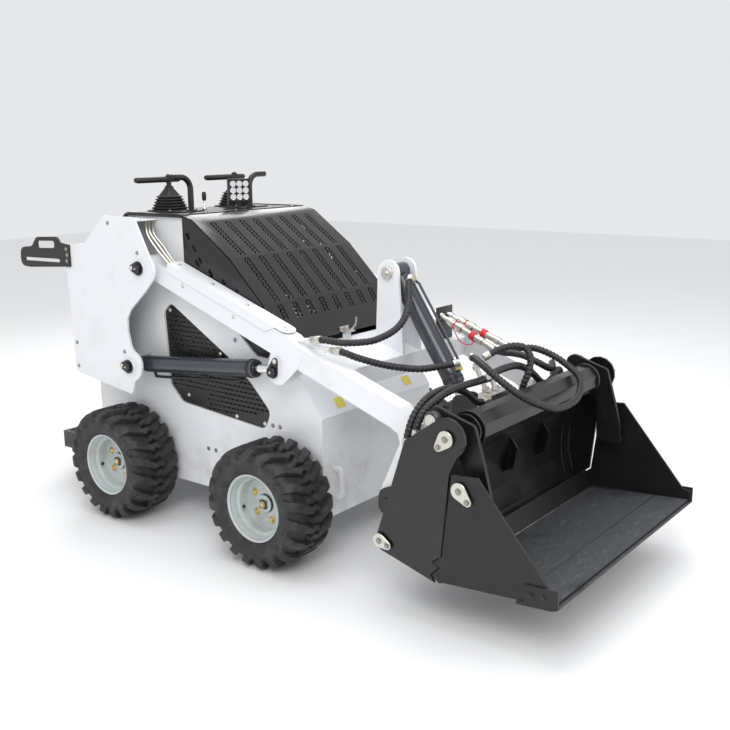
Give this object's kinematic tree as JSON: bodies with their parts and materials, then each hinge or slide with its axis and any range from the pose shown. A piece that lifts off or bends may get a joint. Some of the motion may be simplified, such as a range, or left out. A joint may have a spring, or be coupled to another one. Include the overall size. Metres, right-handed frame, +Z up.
{
  "type": "stand-on mini skid steer loader",
  "caption": "Stand-on wheeled mini skid steer loader with two lift arms, hydraulic cylinders and a bucket whose front half opens like a jaw.",
  "frame": {"origin": "middle of the machine on the ground, under the middle of its length and width", "axes": "+X forward to the bucket, +Y to the machine's left, +Z up"},
  "size_m": [2.934, 1.27, 1.5385],
  "materials": {
    "white_paint": "cool white gloss enamel",
    "rim_paint": "off-white satin enamel",
    "black_paint": "semi-gloss black enamel",
    "hood_black": "glossy black enamel",
    "deck_black": "satin black",
    "cast_motor": "rough grey paint",
    "cylinder_paint": "blue-grey enamel",
    "chrome": "hard chrome",
    "zinc": "zinc plate",
    "brass": "yellow zinc and brass",
    "worn_steel": "scuffed blue-grey steel",
    "tyre_rubber": "matte black tyre rubber",
    "pad_rubber": "soft black rubber",
    "hose_black": "black spiral-wrapped hose",
    "label_yellow": "blank yellow label",
    "cap_red": "red cap",
    "lamp_glass": "clear lens"
  },
  "bodies": {
    "chassis": {"tub": "white_paint", "side_grille_left": "black_paint", "side_grille_right": "black_paint", "engine_block": "cast_motor", "rear_panel": "white_paint", "knee_pad": "pad_rubber", "tie_down_loop": "white_paint", "tower_left": "white_paint", "tower_right": "white_paint", "control_deck": "deck_black", "joystick_left": "deck_black", "joystick_right": "deck_black", "grab_bar_left": "black_paint", "grab_bar_right": "black_paint", "deck_lever": "zinc", "work_lamp": "deck_black", "operator_platform": "black_paint", "rear_handle_left": "black_paint", "rear_handle_right": "black_paint", "wheel_motor_front_left": "cast_motor", "wheel_motor_front_right": "cast_motor", "wheel_motor_rear_left": "cast_motor", "wheel_motor_rear_right": "cast_motor"},
    "hood": {"hood": "hood_black"},
    "lift_arms": {"lift_arm_left": "white_paint", "lift_arm_right": "white_paint", "arm_cross_member": "white_paint", "tilt_hose_base": "hose_black", "tilt_hose_gland": "hose_black", "clam_hose_loop": "hose_black", "clam_hose_return": "hose_black", "coupler_bracket": "zinc"},
    "bucket": {"attach_plate": "black_paint", "bucket_back": "black_paint", "clam_hose_arch": "hose_black", "clam_hose_cross": "hose_black", "clam_hose_right": "hose_black", "hose_manifold": "zinc"},
    "clam": {"bucket_clam": "black_paint", "cutting_edge": "worn_steel"},
    "tilt_barrel": {"tilt_cylinder_barrel": "cylinder_paint"},
    "tilt_rod": {"tilt_cylinder_rod": "chrome"},
    "lift_barrel_left": {"lift_cylinder_left_barrel": "cylinder_paint"},
    "lift_rod_left": {"lift_cylinder_left_rod": "chrome"},
    "clam_barrel_left": {"clam_cylinder_left_barrel": "cylinder_paint"},
    "clam_rod_left": {"clam_cylinder_left_rod": "chrome"},
    "lift_barrel_right": {"lift_cylinder_right_barrel": "cylinder_paint"},
    "lift_rod_right": {"lift_cylinder_right_rod": "chrome"},
    "clam_barrel_right": {"clam_cylinder_right_barrel": "cylinder_paint"},
    "clam_rod_right": {"clam_cylinder_right_rod": "chrome"},
    "wheel_front_left": {"tyre_front_left": "tyre_rubber", "rim_front_left": "rim_paint"},
    "wheel_front_right": {"tyre_front_right": "tyre_rubber", "rim_front_right": "rim_paint"},
    "wheel_rear_left": {"tyre_rear_left": "tyre_rubber", "rim_rear_left": "rim_paint"},
    "wheel_rear_right": {"tyre_rear_right": "tyre_rubber", "rim_rear_right": "rim_paint"}
  },
  "joints": [
    {"name": "wheel_front_left_spin", "type": "hinge", "parent": "chassis", "child": "wheel_front_left", "pos_m": [0.143, 0.5125, 0.254], "axis": [0, 1, 0], "continuous": true},
    {"name": "wheel_front_right_spin", "type": "hinge", "parent": "chassis", "child": "wheel_front_right", "pos_m": [0.143, -0.5125, 0.254], "axis": [0, 1, 0], "continuous": true},
    {"name": "wheel_rear_left_spin", "type": "hinge", "parent": "chassis", "child": "wheel_rear_left", "pos_m": [-0.777, 0.5125, 0.254], "axis": [0, 1, 0], "continuous": true},
    {"name": "wheel_rear_right_spin", "type": "hinge", "parent": "chassis", "child": "wheel_rear_right", "pos_m": [-0.777, -0.5125, 0.254], "axis": [0, 1, 0], "continuous": true},
    {"name": "hood_hinge", "type": "hinge", "parent": "chassis", "child": "hood", "pos_m": [-0.4315, 0, 1.369], "axis": [0, -1, 0], "range_deg": [0, 60]},
    {"name": "lift_hinge", "type": "hinge", "parent": "chassis", "child": "lift_arms", "pos_m": [-0.578, 0, 1.15], "axis": [0, -1, 0], "range_deg": [-6, 66]},
    {"name": "tilt_hinge", "type": "hinge", "parent": "lift_arms", "child": "bucket", "pos_m": [0.713, 0, 0.37], "axis": [0, 1, 0], "range_deg": [0, 85], "deforming": ["clam_hose_loop", "clam_hose_return"]},
    {"name": "clam_hinge", "type": "hinge", "parent": "bucket", "child": "clam", "pos_m": [1.04, 0, 0.699], "axis": [0, -1, 0], "range_deg": [0, 60]},
    {"name": "lift_left_barrel_swing", "type": "hinge", "parent": "chassis", "child": "lift_barrel_left", "pos_m": [-0.687, 0.442, 0.706], "axis": [0, -1, 0], "range_deg": [-4.78, 47.61]},
    {"name": "lift_left_rod_slide", "type": "slide", "parent": "lift_barrel_left", "child": "lift_rod_left", "axis": [0.9952, 0, 0.0978], "range_m": [-0.0366, 0.3725]},
    {"name": "lift_right_barrel_swing", "type": "hinge", "parent": "chassis", "child": "lift_barrel_right", "pos_m": [-0.687, -0.442, 0.706], "axis": [0, -1, 0], "range_deg": [-4.78, 47.61]},
    {"name": "lift_right_rod_slide", "type": "slide", "parent": "lift_barrel_right", "child": "lift_rod_right", "axis": [0.9952, 0, 0.0978], "range_m": [-0.0366, 0.3725]},
    {"name": "tilt_barrel_swing", "type": "hinge", "parent": "lift_arms", "child": "tilt_barrel", "pos_m": [0.41, 0, 1.152], "axis": [0, -1, 0], "range_deg": [-0.5, 3.54], "deforming": ["tilt_hose_base", "tilt_hose_gland"]},
    {"name": "tilt_rod_slide", "type": "slide", "parent": "tilt_barrel", "child": "tilt_rod", "axis": [0.549, 0, -0.8358], "range_m": [-0.003, 0.3745]},
    {"name": "clam_left_barrel_swing", "type": "hinge", "parent": "bucket", "child": "clam_barrel_left", "pos_m": [0.763, 0.549, 0.273], "axis": [0, -1, 0], "range_deg": [-5.75, 0.5]},
    {"name": "clam_left_rod_slide", "type": "slide", "parent": "clam_barrel_left", "child": "clam_rod_left", "axis": [0.3839, 0, 0.9234], "range_m": [-0.0852, 0.003]},
    {"name": "clam_right_barrel_swing", "type": "hinge", "parent": "bucket", "child": "clam_barrel_right", "pos_m": [0.763, -0.549, 0.273], "axis": [0, -1, 0], "range_deg": [-5.75, 0.5]},
    {"name": "clam_right_rod_slide", "type": "slide", "parent": "clam_barrel_right", "child": "clam_rod_right", "axis": [0.3839, 0, 0.9234], "range_m": [-0.0852, 0.003]}
  ],
  "couplings": [
    {"joint": "lift_left_barrel_swing", "follows": "lift_hinge", "ratio": 0.71374},
    {"joint": "lift_left_rod_slide", "follows": "lift_hinge", "m_per_rad": 0.32076},
    {"joint": "lift_right_barrel_swing", "follows": "lift_hinge", "ratio": 0.71374},
    {"joint": "lift_right_rod_slide", "follows": "lift_hinge", "m_per_rad": 0.32076},
    {"joint": "tilt_barrel_swing", "follows": "tilt_hinge", "ratio": 0.03576},
    {"joint": "tilt_rod_slide", "follows": "tilt_hinge", "m_per_rad": 0.25044},
    {"joint": "clam_left_barrel_swing", "follows": "clam_hinge", "ratio": -0.08758},
    {"joint": "clam_left_rod_slide", "follows": "clam_hinge", "m_per_rad": -0.07849},
    {"joint": "clam_right_barrel_swing", "follows": "clam_hinge", "ratio": -0.08758},
    {"joint": "clam_right_rod_slide", "follows": "clam_hinge", "m_per_rad": -0.07849}
  ]
}
